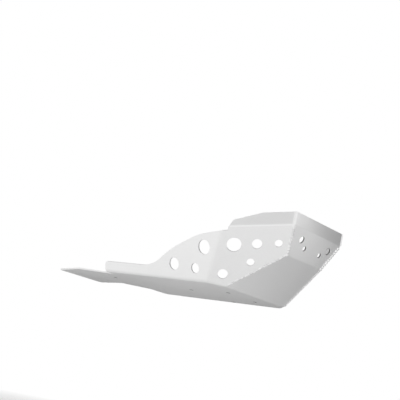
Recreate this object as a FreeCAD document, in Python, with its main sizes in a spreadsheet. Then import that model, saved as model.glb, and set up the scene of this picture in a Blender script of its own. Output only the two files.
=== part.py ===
# Motorcycle skid plate: one blank of aluminium sheet, folded into a tub and welded at two front corners.
# Millimetres. +Z is up, the front points to -Y and the belly rests on Z = 0. The plate is drawn with its
# front fold above Y = 0, and its placement then brings the middle there. Sizes are the outer face's.
import FreeCAD, Part
import math
import os
import Sketcher

SIZES = {
    # The sheet and its bends, with inside radii
    "sheet": 3,
    "bend_inside": 5,
    "crease_inside": 10,
    # The belly, seen from below
    "belly_width": 270,
    "fold_width": 212,
    "front_side_turn": 46,
    "belly_length": 537,
    # The front, seen from the side
    "low_front_run": 105,
    "low_front_angle": 38,
    "up_front_run": 22,
    "up_front_angle": 69.5,
    "rim_height": 26,
    # Outward lean of the side walls, and how far the lip turns in plan
    "side_lean": 20,
    "front_side_lean": 29.5,
    "lip_turn": 38.4,
    # Top edge of the rear side wall: places behind the front fold, heights up the wall, and how far the
    # shoulder stands above a straight line from the rise to the crest
    "rail_end": 321,
    "rail_height": 23.5,
    "rail_corner": 8,
    "rise_start": 177,
    "rise_round": 90,
    "shoulder_place": 121.5,
    "shoulder_bulge": 10,
    "shoulder_round": 280,
    "crest_place": 42,
    "crest_slope": 9,
    "crest_round": 170,
    # The lip: where its top edge kinks, along the fold from the front corner, and its lower rear end
    "lip_kink": 64.5,
    "lip_end_height": 14.5,
    "lip_end_slant": 6.5,
    "lip_end_round": 9,
    # The step behind the lip: its place ahead of the crease and its depth below the fold
    "step_ahead": 12,
    "step_drop": 9.3,
    "step_round": 2,
    # The tail behind the side walls: insets from the edge of the belly, then distances from the middle
    "tail_root_inset": 27,
    "tail_shoulder_place": 415,
    "tail_shoulder_inset": 6,
    "tail_right": 80,
    "tail_left": 60,
    "tail_round": 8,
    # The notch in the left edge of the tail
    "notch_start": 370,
    "notch_inset": 7,
    "notch_step": 70,
    "notch_place": 425,
    "notch_depth": 24,
    # Holes
    "large_hole": 30,
    "rear_hole": 26,
    "middle_hole": 21,
    "small_hole": 16,
    "front_large_hole": 15,
    "front_small_hole": 10.5,
    "front_hole_shift": 5.5,
    "front_large_spacing": 99.5,
    "front_small_spacing": 56.4,
    "front_large_height": 41,
    "front_small_height": 26.4,
    "bolt_hole": 9,
    "bolt_spacing": 98,
    "bolt_shift": 27,
    "bolt_place": 57,
}
# Round holes in one wall: diameter, place behind the front fold and height up the wall
REAR_SIDE_HOLES = {
    "upper_rear": ("large_hole", 30.8, 71.6),
    "lower_rear": ("rear_hole", 113.4, 32.1),
    "lower_middle": ("middle_hole", 55.9, 27.0),
}
# Diameter, distance ahead of the belly corner along the wall's foot and height up the wall
FRONT_SIDE_HOLES = {
    "row_first": ("large_hole", -4.8, 92.2),
    "row_second": ("middle_hole", 39.4, 104.2),
    "row_third": ("small_hole", 80.7, 115.3),
    "foot": ("middle_hole", -11.6, 25.8),
    "middle": ("small_hole", 36.1, 63.4),
}
# Single bolt holes in the belly: place across and place behind the front fold
BELLY_HOLES = {"tail": (-56, 368), "centre": (0, 180), "edge": (122, 152)}

doc = FreeCAD.newDocument("skid_plate")
dims = doc.addObject("Spreadsheet::Sheet", "dims")
row = 0


def size(alias, value):
    """Write one driving dimension into the sheet."""
    global row
    row += 1
    dims.set("A%d" % row, alias)
    dims.set("B%d" % row, str(value))
    dims.setAlias("B%d" % row, alias)


for alias, value in SIZES.items():
    size(alias, value)
for group, holes in (("rear_side", REAR_SIDE_HOLES), ("front_side", FRONT_SIDE_HOLES)):
    for name, (bore, place, height) in holes.items():
        size("%s_%s_place" % (group, name), place)
        size("%s_%s_height" % (group, name), height)
for name, (across, place) in BELLY_HOLES.items():
    size("belly_%s_across" % name, across)
    size("belly_%s_place" % name, place)
doc.recompute()

# Values worked out from the driving dimensions
layout = doc.addObject("App::VarSet", "layout")


def derive(name, formula):
    layout.addProperty("App::PropertyFloat", name)
    layout.setExpression(name, formula)


derive("half_belly", "dims.belly_width / 2")
derive("half_fold", "dims.fold_width / 2")
derive("crease_setback", "(half_belly - half_fold) / tan(dims.front_side_turn)")
derive("low_fold_height", "dims.low_front_run * tan(dims.low_front_angle)")
derive("front_reach", "dims.low_front_run + dims.up_front_run")
derive("rim_fold_height", "low_fold_height + dims.up_front_run * tan(dims.up_front_angle)")
derive("top", "rim_fold_height + dims.rim_height")
derive("front_side_flare", "tan(dims.front_side_lean)")
derive("half_rim", "half_fold + (rim_fold_height * front_side_flare"
       " - front_reach * sin(dims.front_side_turn)) / cos(dims.front_side_turn)")
derive("lip_fall", "sin(dims.front_side_turn - dims.lip_turn) / front_side_flare")
derive("reach", "dims.belly_length + dims.belly_width")
# Deep enough for the sheet at its bends, and short of every other wall
derive("trim_depth", "8 * dims.sheet")
# The crease between the side walls: its shift forward for each millimetre up the rear and the front wall
derive("crease_rate", "(front_side_flare - tan(dims.side_lean) * cos(dims.front_side_turn))"
       " / sin(dims.front_side_turn) * cos(dims.side_lean)")
derive("wall_ratio", "cos(dims.side_lean) / cos(dims.front_side_lean)")
derive("front_crease_rate", "(crease_rate * cos(dims.front_side_turn)"
       " - sin(dims.side_lean) * sin(dims.front_side_turn)) / wall_ratio")
# The lip's fold on the front wall, and the crest that runs on behind it with the same slope
derive("rim_place", "(half_fold - half_rim) * sin(dims.front_side_turn)"
       " + front_reach * cos(dims.front_side_turn)")
derive("rim_up", "rim_fold_height / cos(dims.front_side_lean)")
derive("fold_cosine", "cos(dims.front_side_turn - dims.lip_turn)")
derive("fold_rise", "lip_fall / fold_cosine / cos(dims.front_side_lean)")
derive("front_foot", "crease_setback / cos(dims.front_side_turn)")
derive("front_crease_top", "(rim_up - dims.step_drop - fold_rise * (rim_place + front_foot))"
       " / (1 - fold_rise * front_crease_rate)")
derive("front_crease_place", "front_crease_rate * front_crease_top - front_foot")
# The step between the crest and the lip
derive("step_place", "front_crease_place + dims.step_ahead")
derive("lip_length", "(rim_place - step_place) / fold_cosine")
derive("lip_end", "rim_fold_height - lip_fall * lip_length")
derive("step_fold", "lip_end / cos(dims.front_side_lean)")
derive("step_foot", "step_fold - dims.step_drop")
# The crest goes over the crease onto the rear wall
derive("crease_top", "front_crease_top / wall_ratio")
derive("crease_top_place", "crease_setback - crease_rate * crease_top")
derive("crest_height", "crease_top - tan(dims.crest_slope) * (dims.crest_place - crease_top_place)")
derive("shoulder_share", "(dims.rise_start - dims.shoulder_place) / (dims.rise_start - dims.crest_place)")
derive("shoulder_height", "dims.rail_height + (crest_height - dims.rail_height) * shoulder_share"
       " + dims.shoulder_bulge")
doc.recompute()


def origin_plane(body, role):
    return next(feature for feature in body.Origin.OriginFeatures if feature.Role == role)


def attach(item, plane, base, axis, angle):
    """Put a sketch or plane on another plane, moved by its base and turned about one of its axes."""
    item.AttachmentSupport = [(plane, "")]
    item.MapMode = "FlatFace"
    if axis is not None:
        item.AttachmentOffset = FreeCAD.Placement(FreeCAD.Vector(), FreeCAD.Rotation(axis, 1))
        item.setExpression("AttachmentOffset.Rotation.Angle", angle)
    for letter, formula in zip("xyz", base):
        item.setExpression("AttachmentOffset.Base." + letter, formula)


def sketch_on(body, name, plane, base=("0", "0", "0"), axis=None, angle=None):
    sketch = body.newObject("Sketcher::SketchObject", name)
    attach(sketch, plane, base, axis, angle)
    return sketch


def pin(sketch, geometry, end, across, up):
    """Hold one point of a sketch at two formulas."""
    for kind, formula in (("DistanceX", across), ("DistanceY", up)):
        index = sketch.addConstraint(Sketcher.Constraint(kind, -1, 1, geometry, end, 1))
        sketch.setExpression("Constraints[%d]" % index, formula)


def outline(sketch, points):
    """A closed polygon whose corners are pairs of formulas. It starts as a regular one."""
    count = len(points)
    turns = [2 * math.pi * i / count for i in range(count + 1)]
    corners = [FreeCAD.Vector(math.cos(turn), math.sin(turn)) for turn in turns]
    lines = [sketch.addGeometry(Part.LineSegment(a, b)) for a, b in zip(corners, corners[1:])]
    for line, following in zip(lines, lines[1:] + lines[:1]):
        sketch.addConstraint(Sketcher.Constraint("Coincident", line, 2, following, 1))
    for line, (across, up) in zip(lines, points):
        pin(sketch, line, 1, across, up)


def round_hole(sketch, diameter, across, up):
    circle = sketch.addGeometry(Part.Circle(FreeCAD.Vector(), FreeCAD.Vector(0, 0, 1), 1))
    pin(sketch, circle, 3, across, up)
    index = sketch.addConstraint(Sketcher.Constraint("Diameter", circle, 2))
    sketch.setExpression("Constraints[%d]" % index, diameter)


def mirrored(points, sign):
    """Points drawn for the +X side, or their mirror image."""
    return [("%d * (%s)" % (sign, across), up) for across, up in points]


def cut(body, sketch, depth=None):
    """Cut a sketch out on both sides of its plane, right through unless a depth is given."""
    doc.recompute()
    before = body.Shape.Volume
    pocket = body.newObject("PartDesign::Pocket", sketch.Name + "_cut")
    pocket.Profile = sketch
    pocket.SideType = "Symmetric"
    if depth is None:
        pocket.Type = "ThroughAll"
    else:
        pocket.setExpression("Length", depth)
    doc.recompute()
    if not pocket.Shape.Volume < before:
        raise RuntimeError(sketch.Name + " cuts nothing")


def round_edges(body, name, edges, radius):
    fillet = body.newObject("PartDesign::Fillet", name)
    fillet.Base = (fillet.BaseFeature, edges)
    fillet.setExpression("Radius", radius)
    doc.recompute()


# Kinds of face, told by their normals
FLAT = 1e-6


def is_belly(normal):
    return normal.z < FLAT - 1


def is_front(normal):
    return abs(normal.x) < FLAT and normal.y < -FLAT


def is_rear_side(normal):
    return abs(normal.x) > FLAT and abs(normal.y) < FLAT


def is_front_side(normal):
    return abs(normal.x) > FLAT and normal.y < -FLAT and normal.z < -FLAT


def is_lip(normal):
    return abs(normal.x) > FLAT and normal.y < -FLAT and abs(normal.z) < FLAT


def is_crease(one, other):
    return is_rear_side(one) and is_front_side(other)


def is_bend(one, other):
    under_wall = is_belly(one) and (is_front(other) or is_rear_side(other) or is_front_side(other))
    return under_wall or (is_front(one) and is_front(other)) or (is_front_side(one) and is_lip(other))


def edges_between(shape, wanted):
    """Names of the edges between two flat faces that the test accepts, in either order."""
    normals = {}
    for face in shape.Faces:
        if isinstance(face.Surface, Part.Plane):
            for edge in face.Edges:
                normals.setdefault(edge.hashCode(), []).append(face.normalAt(0, 0))
    names = []
    for index, edge in enumerate(shape.Edges, 1):
        beside = normals.get(edge.hashCode(), [])
        if len(beside) == 2 and (wanted(*beside) or wanted(*reversed(beside))):
            names.append("Edge%d" % index)
    return names


SIDES = (("right", -1), ("left", 1))
UPRIGHT = FreeCAD.Vector(0, 1, 0)
LEVEL = FreeCAD.Vector(1, 0, 0)


def tub(name, inset, overshoot):
    """The solid inside the folded sheet's outer face, or inside a face that lies deeper by the inset."""
    body = doc.addObject("PartDesign::Body", name)
    body.Label = name
    fill = dict(t=inset, over=overshoot)
    low_turn = "(1 + cos(dims.up_front_angle - dims.low_front_angle))"
    low_shift = "{t} * (sin(dims.low_front_angle) + sin(dims.up_front_angle)) / " + low_turn
    low_lift = "{t} * (cos(dims.low_front_angle) + cos(dims.up_front_angle)) / " + low_turn

    side_view = sketch_on(body, name + "_side_view", origin_plane(body, "YZ_Plane"))
    outline(side_view, [(across.format(**fill), up.format(**fill)) for across, up in (
        ("dims.belly_length + {over}", "{t}"),
        ("{t} * tan(dims.low_front_angle / 2)", "{t}"),
        ("-dims.low_front_run + " + low_shift, "layout.low_fold_height + " + low_lift),
        ("{t} - layout.front_reach",
         "layout.rim_fold_height + {t} * cos(dims.up_front_angle) / (1 + sin(dims.up_front_angle))"),
        ("{t} - layout.front_reach", "layout.top + {over}"),
        ("dims.belly_length + {over}", "layout.top + {over}"),
    )])
    doc.recompute()
    block = body.newObject("PartDesign::Pad", name + "_block")
    block.Profile = side_view
    block.SideType = "Symmetric"
    block.setExpression("Length", "2 * layout.reach")

    rear_sides = sketch_on(body, name + "_rear_sides", origin_plane(body, "XZ_Plane"))
    lips = sketch_on(body, name + "_lips", origin_plane(body, "XY_Plane"))
    foot = "layout.half_belly - %s / cos(dims.side_lean)" % inset
    front_foot = inset + " / cos(dims.front_side_lean)"
    lip_across = "layout.half_rim - %s * cos(dims.lip_turn)" % inset
    lip_back = "%s * sin(dims.lip_turn) - layout.front_reach" % inset
    for side, sign in SIDES:
        outline(rear_sides, mirrored([
            (foot, "0"),
            (foot + " + layout.reach * tan(dims.side_lean)", "layout.reach"),
            ("2 * layout.reach", "layout.reach"),
            ("2 * layout.reach", "0"),
        ], sign))
        outline(lips, mirrored([
            (lip_across, lip_back),
            (lip_across + " + layout.reach * sin(dims.lip_turn)",
             lip_back + " + layout.reach * cos(dims.lip_turn)"),
            (lip_across + " + 2 * layout.reach", lip_back),
            (lip_across, lip_back + " - layout.reach"),
        ], sign))
    cut(body, rear_sides)
    for side, sign in SIDES:
        front_side = sketch_on(body, "%s_front_side_%s" % (name, side), origin_plane(body, "XZ_Plane"),
                               ("%d * layout.half_fold" % sign, "0", "0"),
                               UPRIGHT, "%d * dims.front_side_turn" % -sign)
        outline(front_side, mirrored([
            ("layout.reach * layout.front_side_flare - " + front_foot, "layout.reach"),
            ("2 * layout.reach", "layout.reach"),
            ("2 * layout.reach", "-layout.reach"),
            ("-layout.reach * layout.front_side_flare - " + front_foot, "-layout.reach"),
        ], sign))
        cut(body, front_side)
    cut(body, lips)
    round_edges(body, name + "_creases", edges_between(body.Shape, is_crease),
                "dims.crease_inside + dims.sheet - " + inset)
    round_edges(body, name + "_bends", edges_between(body.Shape, is_bend),
                "dims.bend_inside + dims.sheet - " + inset)
    return body


plate = tub("skid_plate", "0", "0")
hollow = tub("hollow", "dims.sheet", "dims.sheet")
opened = plate.newObject("PartDesign::Boolean", "opened")
opened.Type = "Cut"
opened.addObjects([hollow])
doc.recompute()

# Rear side walls: the swept top edge and the round holes
for side, sign in SIDES:
    rear_side = sketch_on(plate, "rear_side_" + side, origin_plane(plate, "YZ_Plane"),
                          ("0", "0", "%d * layout.half_belly" % sign), LEVEL, "%d * dims.side_lean" % sign)
    outline(rear_side, [
        ("dims.belly_length", "dims.rail_height"),
        ("dims.rise_start", "dims.rail_height"),
        ("dims.shoulder_place", "layout.shoulder_height"),
        ("dims.crest_place", "layout.crest_height"),
        ("layout.crease_top_place", "layout.crease_top"),
        ("layout.crease_top_place - layout.crease_rate * layout.top", "layout.crease_top + layout.top"),
        ("dims.belly_length", "layout.crease_top + layout.top"),
    ])
    for name, (bore, place, height) in REAR_SIDE_HOLES.items():
        start = "dims.rear_side_" + name
        round_hole(rear_side, "dims." + bore, start + "_place", start + "_height")
    cut(plate, rear_side, "layout.trim_depth")

# Front side walls: the step behind the lip and the round holes
for side, sign in SIDES:
    foot_plane = plate.newObject("PartDesign::Plane", "foot_plane_" + side)
    attach(foot_plane, origin_plane(plate, "XZ_Plane"), ("%d * layout.half_fold" % sign, "0", "0"),
           UPRIGHT, "-90 - %d * dims.front_side_turn" % sign)
    front_side = sketch_on(plate, "front_side_" + side, foot_plane, axis=LEVEL,
                           angle="%d * dims.front_side_lean" % -sign)
    outline(front_side, [
        ("layout.front_crease_place", "layout.front_crease_top"),
        ("layout.step_place", "layout.step_foot"),
        ("layout.step_place", "layout.step_fold + layout.top"),
        ("layout.front_crease_place + layout.top * (layout.front_crease_place + layout.front_foot)"
         " / layout.front_crease_top", "layout.front_crease_top + layout.top"),
    ])
    for name, (bore, place, height) in FRONT_SIDE_HOLES.items():
        start = "dims.front_side_" + name
        round_hole(front_side, "dims." + bore, start + "_place", start + "_height")
    cut(plate, front_side, "layout.trim_depth")

# Lips: the top edge falls with the fold, then tapers to a low rear end
for side, sign in SIDES:
    lip = sketch_on(plate, "lip_" + side, origin_plane(plate, "XZ_Plane"),
                    ("%d * layout.half_rim" % sign, "0", "layout.front_reach"),
                    UPRIGHT, "90 - %d * dims.lip_turn" % sign)
    outline(lip, [
        ("-dims.rim_height", "layout.top + layout.lip_fall * dims.rim_height"),
        ("dims.lip_kink", "layout.top - layout.lip_fall * dims.lip_kink"),
        ("layout.lip_length - dims.lip_end_slant", "layout.lip_end + dims.lip_end_height"),
        ("layout.lip_length", "layout.lip_end"),
        ("2 * layout.lip_length", "layout.lip_end - layout.lip_fall * layout.lip_length"),
        ("2 * layout.lip_length", "2 * layout.top"),
        ("-dims.rim_height", "2 * layout.top"),
    ])
    cut(plate, lip, "layout.trim_depth")

# The tail with its notch, the ends of the side walls and the holes in the belly
tail = sketch_on(plate, "tail", origin_plane(plate, "XY_Plane"))
outline(tail, [
    ("-layout.reach", "dims.rail_end"),
    ("dims.tail_root_inset - layout.half_belly", "dims.rail_end"),
    ("dims.tail_shoulder_inset - layout.half_belly", "dims.tail_shoulder_place"),
    ("-dims.tail_right", "dims.belly_length"),
    ("-dims.tail_right", "layout.reach"),
    ("-layout.reach", "layout.reach"),
])
outline(tail, [
    ("layout.reach", "dims.rail_end"),
    ("layout.half_belly - dims.notch_inset", "dims.rail_end"),
    ("layout.half_belly - dims.notch_inset", "dims.notch_start"),
    ("dims.notch_step", "dims.notch_start"),
    ("dims.notch_depth", "dims.notch_place"),
    ("dims.tail_left", "dims.belly_length"),
    ("dims.tail_left", "layout.reach"),
    ("layout.reach", "layout.reach"),
])
for half in ("-0.5", "0.5"):
    round_hole(tail, "dims.bolt_hole", "dims.bolt_shift + %s * dims.bolt_spacing" % half, "dims.bolt_place")
for name in BELLY_HOLES:
    round_hole(tail, "dims.bolt_hole", "dims.belly_%s_across" % name, "dims.belly_%s_place" % name)
cut(plate, tail)

# Two pairs of holes in the upper front panel
front = sketch_on(plate, "front", origin_plane(plate, "XZ_Plane"),
                  ("0", "layout.low_fold_height", "dims.low_front_run"), LEVEL, "90 - dims.up_front_angle")
for pair in ("large", "small"):
    start = "dims.front_" + pair
    for half in ("-0.5", "0.5"):
        across = "dims.front_hole_shift + %s * %s_spacing" % (half, start)
        round_hole(front, start + "_hole", across, start + "_height")
cut(plate, front, "layout.trim_depth")


def sheet_corners(body, normal):
    """Edges between flat cuts that run through the sheet along a wall's normal, from the rear forwards."""
    corners = []
    for name in edges_between(body.Shape, lambda one, other: True):
        edge = body.Shape.getElement(name)
        if edge.Curve.Direction.cross(normal).Length < FLAT:
            corners.append((-edge.CenterOfMass.y, name))
    return [name for place, name in sorted(corners)]


def wall_normal(sign, turn, lean):
    """Outward normal of a wall that is turned in plan and leans out, in degrees."""
    turn, lean = math.radians(turn), math.radians(lean)
    level = math.cos(lean)
    return FreeCAD.Vector(sign * math.cos(turn) * level, -math.sin(turn) * level, -math.sin(lean))


# Rounded corners of the rear side walls, from the rear forwards
for corner in ("rail_corner", "rise_round", "shoulder_round", "crest_round"):
    rear_corners = [sheet_corners(plate, wall_normal(sign, 0, dims.side_lean))[0] for side, sign in SIDES]
    round_edges(plate, corner, rear_corners, "dims." + corner)

# Rounded corners of the step: its foot on the side wall, then its top at the rear end of the lip
step_feet = [sheet_corners(plate, wall_normal(sign, dims.front_side_turn, dims.front_side_lean))[0]
             for side, sign in SIDES]
round_edges(plate, "step_round", step_feet, "dims.step_round")
lip_ends = [sheet_corners(plate, wall_normal(sign, dims.lip_turn, 0))[1] for side, sign in SIDES]
round_edges(plate, "lip_end_round", lip_ends, "dims.lip_end_round")

# Rounded corners of the tail, behind the ends of the side walls
tail_corners = [name for name in sheet_corners(plate, FreeCAD.Vector(0, 0, 1))
                if plate.Shape.getElement(name).CenterOfMass.y > dims.rail_end + FLAT]
round_edges(plate, "tail_round", tail_corners, "dims.tail_round")

# The origin is under the middle of the whole plate, on the plane that the belly rests on
plate.setExpression("Placement.Base.y", "(layout.front_reach - dims.belly_length) / 2")
doc.recompute()

for item in doc.Objects:
    if "Invalid" in item.State or "Error" in item.State:
        raise RuntimeError(item.Name + " failed")
if plate.Shape.isNull() or not plate.Shape.isValid() or len(plate.Shape.Solids) != 1:
    raise RuntimeError("the plate is not one sound solid")
os.makedirs("parts", exist_ok=True)
plate.Shape.exportStep("parts/%s.step" % plate.Label)
print(plate.Label, plate.Shape.Volume, plate.Shape.BoundBox)
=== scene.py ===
import math

import bpy
from mathutils import Matrix, Vector


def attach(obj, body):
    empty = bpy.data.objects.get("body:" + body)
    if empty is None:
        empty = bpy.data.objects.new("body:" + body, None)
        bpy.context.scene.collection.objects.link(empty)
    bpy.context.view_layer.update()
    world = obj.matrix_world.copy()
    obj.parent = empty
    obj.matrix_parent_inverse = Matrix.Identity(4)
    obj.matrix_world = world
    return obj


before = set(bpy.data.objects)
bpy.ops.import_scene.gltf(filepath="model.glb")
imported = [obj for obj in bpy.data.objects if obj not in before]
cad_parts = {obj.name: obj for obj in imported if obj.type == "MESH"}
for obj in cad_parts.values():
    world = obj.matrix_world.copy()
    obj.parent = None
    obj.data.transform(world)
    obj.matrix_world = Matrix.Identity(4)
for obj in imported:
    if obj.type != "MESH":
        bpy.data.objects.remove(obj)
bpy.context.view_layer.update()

# The photograph's view: angles in degrees, and lengths in metres as everywhere below
AIM = Vector((-0.1222, -0.1039, 0.1749))
AZIMUTH, ELEVATION, ROLL = -48.0815, -11.4867, 12.01
DISTANCE = 1.922
LENS_MM, SENSOR_MM = 81.914, 36.0

# Thickness of the plate, and the corners of its welded seam on the left, from the belly up to the rim
SHEET = 0.003
SEAM_FOOT = Vector((0.106, -0.205, 0.0))
SEAM_LOW_FOLD = Vector((0.0641, -0.310, 0.0820))
SEAM_RIM_FOLD = Vector((0.0892, -0.332, 0.1409))
SEAM_TOP = Vector((0.0892, -0.332, 0.1669))

# Either upright corner of the rim, in plan, and the distances over which its dressed band fades
RIM_CORNER = (SEAM_TOP.x, -SEAM_TOP.y, 0.0)
DRESSED_FADE = (0.0035, 0.0050)

# Bolt holes in the belly: their diameter and their places
BOLT_BORE = 0.009
BOLT_PLACES = ((-0.022, -0.148), (0.076, -0.148), (0.122, -0.053), (0.0, -0.025), (-0.056, 0.163))
# Two pairs of holes in the upper front: diameter, spacing and height up the panel from its lower fold, and
# how far to the left the middle of both pairs lies
FRONT_PAIRS = ((0.015, 0.0995, 0.04103), (0.0105, 0.0564, 0.02643))
FRONT_SHIFT = 0.0055
# The painted shade in a bore ends just beyond its rim
BORE_MARGIN, BORE_FADE = 0.00001, 0.0002

# Steps to the radius of a weld bead in the mesh that skins it
BEAD_STEPS = 6

# Patterns in the metal, in cells to the metre
GRAIN, PATCHES = 900.0, 11.0
ROLLING_LINES = (420.0, 6.0, 420.0)
WELD_SKIN, WELD_SCALES = 650.0, 150.0

# The values of a pattern that give its darkest and its lightest tone
PATTERN_RANGE = (0.3, 0.7)
GRAIN_RANGE = (0.25, 0.75)
SCALES_RANGE = (0.42, 0.60)

# Levels of grey, dark and light where there are two, and how warm the light one is
SHEET_GREYS = (0.87, 0.93)
DRESSED_WELD_GREYS = (0.92, 0.96)
SCALY_WELD_GREYS = (0.83, 0.98)
# Greys of the filed edges (lighter partly as a painted highlight), of the painted shade in the bores, of
# the painted highlight on the bends and of the dressed corners
FILED_EDGE_HIGHLIGHT_GREY, BORE_SHADE_GREY, BEND_HIGHLIGHT_GREY, CORNER_GREY = 0.95, 0.20, 0.98, 0.98
FLOOR_GREY = 0.90
WARMTH = 0.001

# Shares of grain, patches and rolling lines in the tone of the sheet, of grain and lines in its relief, and
# of the fine skin in the relief of a scaly weld
GRAIN_TONE, PATCH_TONE, LINE_TONE = 0.5, 0.3, 0.2
GRAIN_RELIEF, LINE_RELIEF = 0.7, 0.3
SKIN_RELIEF = 0.1

# Filed edges: how far they are rounded, and over which turns, as 1 less the cosine, they grow bright,
# partly as polished metal and partly as a painted highlight
EDGE_ROUND = 0.0009
EDGE_TURN = (0.004, 0.10)
# How much of their own grey the filed edges, partly a painted highlight, and the painted highlight on the
# bends under the lips take on
FILED_EDGE_HIGHLIGHT_SHARE, BEND_HIGHLIGHT_SHARE = 0.5, 0.8

# The painted highlight on the bends under the lips, by the upward and the sideways part of the way they
# face: from below a lip to a front side wall, and further to the side than a front panel but less than a
# rear side wall
BELOW_LIP, AT_FRONT_WALL = (-0.02, -0.15), (-0.42, -0.48)
BESIDE_FRONT, AT_REAR_WALL = (0.4, 0.55), (0.70, 0.78)

# How metallic and how rough the metals are, what patterns add to the roughness and what polish takes off it
SHEET_METALLIC, CORNER_METALLIC = 0.85, 0.10
DRESSED_WELD_METALLIC, SCALY_WELD_METALLIC = 0.4, 0.7
SHEET_ROUGHNESS, WELD_ROUGHNESS = 0.44, 0.34
GRAIN_ROUGHNESS, SKIN_ROUGHNESS = 0.12, 0.12
EDGE_POLISH, CORNER_POLISH = 0.12, 0.1

# The floor lies well below the belly, whose underside is at height 0
FLOOR_HEIGHT = -0.33
FLOOR_SIZE = 14.0
# Distances over which it runs out into white, from its middle and, in reflections, from a point to the left
WHITE_FADE, MIRRORED_FADE = (0.45, 0.9), (0.8, 1.3)
MIRRORED_MIDDLE = (0.45, 0.1, 0.0)

# Strength of the white surroundings as soft light, and of the ceiling in reflections, with the upward part
# of the directions over which it sets in
SOFT_LIGHT, CEILING = 0.72, 0.4
CEILING_FADE = (0.1, 0.62)


class Wire:
    """A shader socket that takes part in arithmetic and can add any node to its own material."""

    def __init__(self, tree, socket=None):
        self.tree = tree
        self.socket = socket

    def node(self, kind, settings=None, inputs=None, output=0):
        """Add a node: its settings first, then the values or wires of its inputs."""
        made = self.tree.nodes.new("ShaderNode" + kind)
        for name, value in (settings or {}).items():
            setattr(made, name, value)
        for key, value in (inputs or {}).items():
            if isinstance(value, Wire):
                self.tree.links.new(value.socket, made.inputs[key])
            else:
                made.inputs[key].default_value = value
        return Wire(self.tree, made.outputs[output] if made.outputs else None)

    def math(self, operation, *values):
        return self.node("Math", {"operation": operation}, dict(enumerate(values)))

    def __add__(self, other):
        return self.math("ADD", self, other)

    def __sub__(self, other):
        return self.math("SUBTRACT", self, other)

    def __rsub__(self, other):
        return self.math("SUBTRACT", other, self)

    def __mul__(self, other):
        return self.math("MULTIPLY", self, other)

    __radd__ = __add__
    __rmul__ = __mul__

    def between(self, low, high):
        """This value as a share of the way from low to high, held to 0 and 1."""
        return self.node("MapRange", None, {"Value": self, "From Min": low, "From Max": high})

    def mix(self, none, full):
        """A colour from none to full by this share."""
        return self.node("Mix", {"data_type": "RGBA"}, {0: self, 6: none, 7: full}, output=2)

    def along(self, axis):
        """The part of this direction along one axis."""
        return self.node("SeparateXYZ", None, {"Vector": self}, output=axis)

    def distance(self, point):
        """How far this place lies from a point."""
        return self.node("VectorMath", {"operation": "DISTANCE"}, {0: self, 1: point}, output="Value")


def new_material(name):
    material = bpy.data.materials.new(name)
    material.use_nodes = True
    material.node_tree.nodes.clear()
    return material, Wire(material.node_tree)


def grey(level, warmth=0.0):
    """A nearly neutral colour, a little warmer or colder."""
    return (level + warmth, level, level - warmth, 1.0)


def shade(share, greys):
    """A tone between two levels of grey by this share, a little warm where it is light."""
    dark, light = greys
    return share.mix(grey(dark), grey(light, WARMTH))


def bare_metal(wire, colour, metallic, roughness, bumps):
    """The surface of a material that is metal all over."""
    shader = wire.node("BsdfPrincipled", None, {
        "Base Color": colour, "Metallic": metallic, "Roughness": roughness, "Normal": bumps})
    wire.node("OutputMaterial", None, {"Surface": shader})


def small_holes():
    """The middle of each small hole, in the thickness of the sheet, and its diameter."""
    holes = [(Vector((*place, SHEET / 2)), BOLT_BORE) for place in BOLT_PLACES]
    up = ((SEAM_RIM_FOLD - SEAM_LOW_FOLD) * Vector((0, 1, 1))).normalized()
    inward = Vector((0, up.z, -up.y))
    for diameter, spacing, height in FRONT_PAIRS:
        for across in (FRONT_SHIFT - spacing / 2, FRONT_SHIFT + spacing / 2):
            foot = Vector((across, SEAM_LOW_FOLD.y, SEAM_LOW_FOLD.z))
            holes.append((foot + up * height + inward * SHEET / 2, diameter))
    return holes


def painted_bore_shade(place, colour):
    """This colour, with painted shade in the bores of the small holes."""
    for middle, diameter in small_holes():
        reach = math.hypot(diameter, SHEET) / 2 + BORE_MARGIN
        outside = place.distance(middle).between(reach, reach + BORE_FADE)
        colour = outside.mix(grey(BORE_SHADE_GREY), colour)
    return colour


def bend_highlight(outward):
    """1 on the bends under the lips, where a highlight is painted."""
    lean = outward.along("Z")
    sideways = outward.math("ABSOLUTE", outward.along("X"))
    bend = lean.between(*BELOW_LIP) * (1 - lean.between(*AT_FRONT_WALL))
    return bend * sideways.between(*BESIDE_FRONT) * (1 - sideways.between(*AT_REAR_WALL))


def dressed_corners(place):
    """1 on both upright corners of the rim, which are welded and dressed smooth."""
    in_plan = place.node("Mapping", None, {"Vector": place, "Scale": (1.0, 1.0, 0.0)})
    either_side = place.node("VectorMath", {"operation": "ABSOLUTE"}, {0: in_plan})
    return 1 - either_side.distance(RIM_CORNER).between(*DRESSED_FADE)


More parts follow.
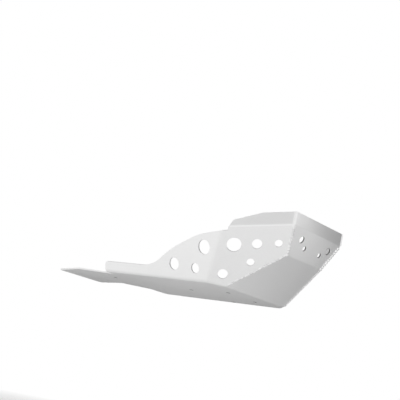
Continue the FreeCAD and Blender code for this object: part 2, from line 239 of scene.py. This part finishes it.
def blasted_aluminium():
    """Bare sheet with a fine blasted grain, faint rolling lines, cloudy patches, bright filed edges that
    are partly a painted highlight, painted shade in the small bores and a painted highlight on the bends
    under the lips.
    """
    material, wire = new_material("blasted_aluminium")
    place = wire.node("TexCoord", output="Object")
    grain = wire.node("TexNoise", None, {"Vector": place, "Scale": GRAIN, "Detail": 5.0, "Roughness": 0.65})
    patches = wire.node("TexNoise", None, {"Vector": place, "Scale": PATCHES, "Detail": 3.0})
    stretched = wire.node("Mapping", None, {"Vector": place, "Scale": ROLLING_LINES})
    lines = wire.node("TexNoise", None, {"Vector": stretched, "Scale": 1.0, "Detail": 2.0})

    rounded = wire.node("Bevel", {"samples": 6}, {"Radius": EDGE_ROUND})
    outward = wire.node("NewGeometry", output="Normal")
    facing = wire.node("VectorMath", {"operation": "DOT_PRODUCT"}, {0: rounded, 1: outward}, output="Value")
    edge = (1 - facing).between(*EDGE_TURN)
    corner = dressed_corners(place)

    tone = (grain.between(*GRAIN_RANGE) * GRAIN_TONE
            + patches.between(*PATTERN_RANGE) * PATCH_TONE
            + lines.between(*PATTERN_RANGE) * LINE_TONE)
    # Filed edges are lighter, partly as polished metal and partly as a painted highlight
    colour = (edge * FILED_EDGE_HIGHLIGHT_SHARE).mix(shade(tone, SHEET_GREYS), grey(FILED_EDGE_HIGHLIGHT_GREY))
    # Painted shade in the bores of the small holes
    colour = painted_bore_shade(place, colour)
    # Painted highlight on the bends under the lips, picked by the way they face
    colour = (bend_highlight(outward) * BEND_HIGHLIGHT_SHARE).mix(colour, grey(BEND_HIGHLIGHT_GREY))
    colour = corner.mix(colour, grey(CORNER_GREY))
    metallic = SHEET_METALLIC - corner * (SHEET_METALLIC - CORNER_METALLIC)
    roughness = SHEET_ROUGHNESS + grain * GRAIN_ROUGHNESS - edge * EDGE_POLISH - corner * CORNER_POLISH
    relief = grain * GRAIN_RELIEF + lines * LINE_RELIEF
    bumps = wire.node("Bump", None, {
        "Strength": 0.22, "Distance": 0.0003, "Height": relief, "Normal": rounded})
    bare_metal(wire, colour, metallic, roughness, bumps)
    return material


def dressed_weld():
    """Bright filler metal, filed down, with a slightly uneven skin."""
    material, wire = new_material("dressed_weld")
    place = wire.node("TexCoord", output="Object")
    skin = wire.node("TexNoise", None, {"Vector": place, "Scale": WELD_SKIN, "Detail": 3.0})
    colour = shade(skin.between(*PATTERN_RANGE), DRESSED_WELD_GREYS)
    bumps = wire.node("Bump", None, {"Strength": 0.2, "Distance": 0.0003, "Height": skin})
    bare_metal(wire, colour, DRESSED_WELD_METALLIC, WELD_ROUGHNESS + skin * SKIN_ROUGHNESS, bumps)
    return material


def scaly_weld():
    """Filler metal as it was laid, with uneven scales that are painted lighter on their crests as
    highlights.
    """
    material, wire = new_material("scaly_weld")
    place = wire.node("TexCoord", output="Object")
    skin = wire.node("TexNoise", None, {"Vector": place, "Scale": WELD_SKIN, "Detail": 3.0})
    scales = wire.node("TexNoise", None, {"Vector": place, "Scale": WELD_SCALES, "Detail": 1.0})
    # The scales' tone follows their relief and is lighter on the crests: a painted highlight over an uneven
    # tone
    colour = shade(scales.between(*SCALES_RANGE), SCALY_WELD_GREYS)
    relief = scales + skin * SKIN_RELIEF
    bumps = wire.node("Bump", None, {"Strength": 0.8, "Distance": 0.0015, "Height": relief})
    bare_metal(wire, colour, SCALY_WELD_METALLIC, WELD_ROUGHNESS + skin * SKIN_ROUGHNESS, bumps)
    return material


def mirrored_rays(wire):
    """1 for light that reached the eye by a reflection or through glass."""
    glossy = wire.node("LightPath", output="Is Glossy Ray")
    passed = wire.node("LightPath", output="Is Transmission Ray")
    return wire.math("MAXIMUM", glossy, passed)


def pale_floor():
    """A matt white floor that keeps the plate's shadow and runs out into the white background."""
    material, wire = new_material("pale_floor")
    place = wire.node("TexCoord", output="Object")
    away = wire.node("VectorMath", {"operation": "LENGTH"}, {0: place}, output="Value")
    seen_white = wire.node("LightPath", output="Is Camera Ray") * away.between(*WHITE_FADE)
    mirrored_white = mirrored_rays(wire) * place.distance(MIRRORED_MIDDLE).between(*MIRRORED_FADE)
    fade = wire.math("MAXIMUM", seen_white, mirrored_white)
    matt = wire.node("BsdfDiffuse", None, {"Color": grey(FLOOR_GREY)})
    white = wire.node("Emission", None, {"Color": grey(1.0)})
    both = wire.node("MixShader", None, {0: fade, 1: matt, 2: white})
    wire.node("OutputMaterial", None, {"Surface": both})
    return material


def matt_grey(name, level):
    """An even grey without any gloss."""
    material, wire = new_material(name)
    matt = wire.node("BsdfDiffuse", None, {"Color": grey(level)})
    wire.node("OutputMaterial", None, {"Surface": matt})
    return material


def deselect():
    bpy.ops.object.select_all(action="DESELECT")


def weld_bead(name, start, end, radius, ripple):
    """A rippled bead along one straight seam, as scales that lie on each other."""
    deselect()
    bpy.ops.mesh.primitive_uv_sphere_add(segments=20, ring_count=12, radius=radius, location=start)
    bead = bpy.context.object
    bead.name = name
    bead.rotation_euler = (end - start).to_track_quat("Z", "Y").to_euler()
    row = bead.modifiers.new("row", "ARRAY")
    row.use_relative_offset = False
    row.use_constant_offset = True
    row.count = round((end - start).length / ripple) + 1
    row.constant_offset_displace = (0, 0, (end - start).length / (row.count - 1))
    skin = bead.modifiers.new("skin", "REMESH")
    skin.mode = "VOXEL"
    skin.voxel_size = radius / BEAD_STEPS
    for modifier in (row.name, skin.name):
        bpy.ops.object.modifier_apply(modifier=modifier)
    bpy.ops.object.transform_apply(location=True, rotation=True, scale=True)
    bpy.ops.object.shade_smooth()
    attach(bead, "root")
    return bead


def seam_weld(name, across, finish, low, high, inside, low_gap, high_gap, radius, ripple):
    """One stretch of a seam's weld, a little inside its corner and short of both its ends."""
    along = (high - low).normalized()
    start = low + Vector(inside) + along * low_gap
    end = high + Vector(inside) - along * high_gap
    bead = weld_bead(name, start * across, end * across, radius, ripple)
    bead.data.materials.append(finish)


def studio_card(name, place, facing, width, foot, top, level):
    """An upright matt card that only the metal sees, by reflection."""
    deselect()
    bpy.ops.mesh.primitive_plane_add(size=1.0, location=(*place, (foot + top) / 2))
    card = bpy.context.object
    card.name = name
    card.scale = (width, top - foot, 1.0)
    card.rotation_euler = Vector((*facing, 0)).to_track_quat("Z", "Y").to_euler()
    card.visible_camera = card.visible_diffuse = card.visible_shadow = False
    card.data.materials.append(matt_grey(name + "_grey", level))


def white_surroundings():
    """White to the eye and weaker as light, with a ceiling that is darker in reflections alone."""
    world = bpy.data.worlds.new("studio")
    bpy.context.scene.world = world
    world.use_nodes = True
    world.node_tree.nodes.clear()
    sky = Wire(world.node_tree)
    mirrored = mirrored_rays(sky)
    seen = sky.math("MAXIMUM", sky.node("LightPath", output="Is Camera Ray"), mirrored)
    height = sky.node("TexCoord", output="Generated").along("Z").between(*CEILING_FADE)
    strength = SOFT_LIGHT + seen * (1 - SOFT_LIGHT) - mirrored * height * (1 - CEILING)
    white = sky.node("Background", None, {"Color": grey(1.0), "Strength": strength})
    sky.node("OutputWorld", None, {"Surface": white})


def area_lamp(name, place, aim, width, height, power):
    """A rectangular lamp that the camera doesn't see, with its power in watts."""
    light = bpy.data.lights.new(name, "AREA")
    light.shape = "RECTANGLE"
    light.size = width
    light.size_y = height
    light.energy = power
    lamp = bpy.data.objects.new(name, light)
    lamp.location = place
    lamp.rotation_euler = (Vector(aim) - Vector(place)).to_track_quat("-Z", "Y").to_euler()
    lamp.visible_camera = False
    bpy.context.collection.objects.link(lamp)


# The sheet keeps its own mesh and gets its finish
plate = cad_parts["skid_plate"]
plate.data.materials.clear()
plate.data.materials.append(blasted_aluminium())

# Weld beads on the two front corners: scaly up the sloping seams, and dressed on the rim
as_laid = scaly_weld()
filed_down = dressed_weld()
for side, across in (("right", Vector((-1, 1, 1))), ("left", Vector((1, 1, 1)))):
    seam_weld("weld_lower_" + side, across, as_laid, SEAM_FOOT, SEAM_LOW_FOLD,
              inside=(-0.0006, 0.0013, 0.0013), low_gap=0.0060, high_gap=0.0010,
              radius=0.0031, ripple=0.0050)
    seam_weld("weld_upper_" + side, across, as_laid, SEAM_LOW_FOLD, SEAM_RIM_FOLD,
              inside=(-0.0018, 0.0018, 0.0009), low_gap=0.0015, high_gap=0.0080,
              radius=0.0042, ripple=0.0066)
    seam_weld("weld_rim_" + side, across, filed_down, SEAM_RIM_FOLD, SEAM_TOP,
              inside=(0.0004, 0.0023, 0.0), low_gap=0.0024, high_gap=0.0024,
              radius=0.0022, ripple=0.0008)

# Floor
deselect()
bpy.ops.mesh.primitive_plane_add(size=FLOOR_SIZE, location=(0, 0, FLOOR_HEIGHT))
floor = bpy.context.object
floor.name = "floor"
floor.data.materials.append(pale_floor())

# Grey cards beside the plate and behind the camera, out of its sight, that the bare metal reflects
studio_card("side_card", place=(0.48, 0.4), facing=(-1.0, 0.0), width=4.2,
            foot=FLOOR_HEIGHT, top=0.9, level=0.14)
studio_card("tail_card", place=(0.30, 0.75), facing=(-1.0, 0.0), width=0.7,
            foot=FLOOR_HEIGHT, top=0.0, level=0.10)
studio_card("camera_card", place=(-2.1, -1.75), facing=(0.8, 0.6), width=2.4,
            foot=0.15, top=1.5, level=0.68)

# Light from all around, from a large lamp above and from two small ones in front
white_surroundings()
area_lamp("key", place=(-1.6, -0.05, 1.9), aim=(-0.6, -0.1, FLOOR_HEIGHT), width=1.6, height=1.6, power=15)
area_lamp("front_strip", place=(0.16, -0.54, 0.02), aim=(-0.06, -0.32, 0.115),
          width=0.10, height=0.16, power=0.075)
area_lamp("rim_strip", place=(0.06, -0.50, 0.20), aim=(-0.089, -0.332, 0.155),
          width=0.06, height=0.10, power=0.060)

# Camera
camera_data = bpy.data.cameras.new("camera")
camera_data.sensor_width = SENSOR_MM
camera_data.lens = LENS_MM
camera = bpy.data.objects.new("camera", camera_data)
bpy.context.collection.objects.link(camera)
turned = (Matrix.Rotation(math.radians(AZIMUTH), 4, "Z")
          @ Matrix.Rotation(math.radians(90 - ELEVATION), 4, "X")
          @ Matrix.Rotation(math.radians(ROLL), 4, "Z"))
camera.matrix_world = Matrix.Translation(AIM) @ turned @ Matrix.Translation((0, 0, DISTANCE))
bpy.context.scene.camera = camera
bpy.context.scene.view_settings.view_transform = "Standard"
